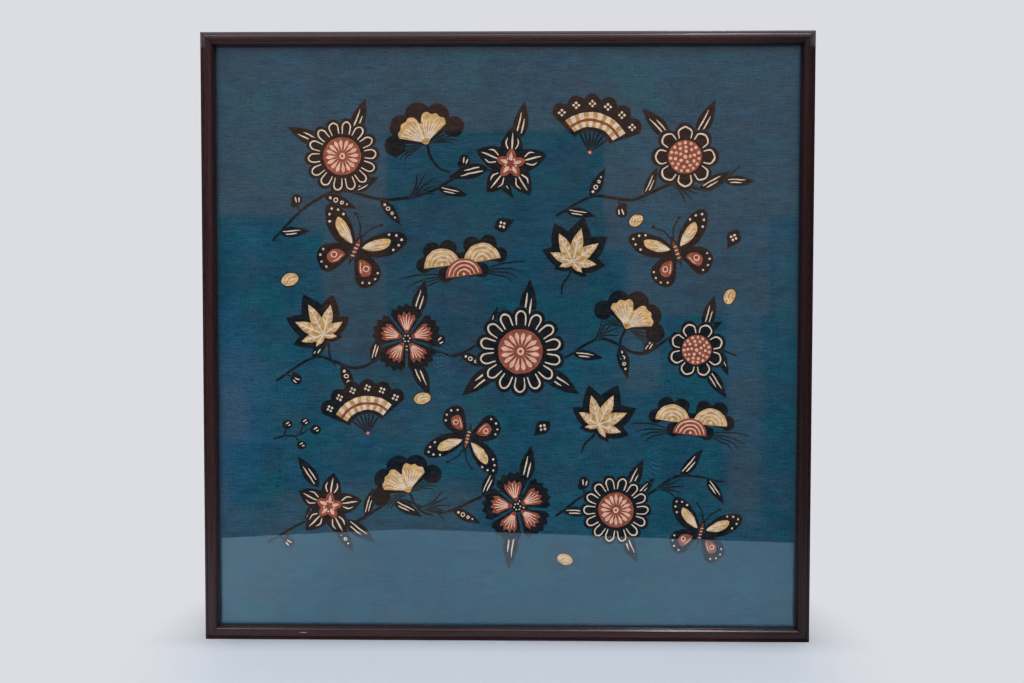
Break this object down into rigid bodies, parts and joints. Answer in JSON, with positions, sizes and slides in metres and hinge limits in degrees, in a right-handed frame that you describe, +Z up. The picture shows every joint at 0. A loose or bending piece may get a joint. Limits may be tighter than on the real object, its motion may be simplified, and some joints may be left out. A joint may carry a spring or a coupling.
{
  "type": "stencil-dyed textile in a glazed wooden frame",
  "caption": "Square of stencil-dyed cloth held flat behind glass in a slim mitred frame of lacquered wood, standing upright on its bottom rail.",
  "frame": {"origin": "centre of the footprint, on the surface the bottom rail stands on", "axes": "+Z up, face towards -Y and back towards +Y, +X to the right seen from the front"},
  "size_m": [0.614, 0.024, 0.614],
  "materials": {
    "lacquered_wood": "very dark red-brown lacquer, semi-gloss, slightly rubbed along its edges",
    "clear_glass": "clear polished sheet glass",
    "dyed_cloth": "plain weave with fine slubs, deep teal-indigo ground with resist-dyed motifs in near-black, brick red, ochre and cream",
    "plain_board": "plain brown fibreboard, matt"
  },
  "bodies": {
    "root": {"rail_top": "lacquered_wood", "rail_bottom": "lacquered_wood", "rail_left": "lacquered_wood", "rail_right": "lacquered_wood", "glazing": "clear_glass", "cloth": "dyed_cloth", "backing_board": "plain_board"}
  },
  "joints": []
}
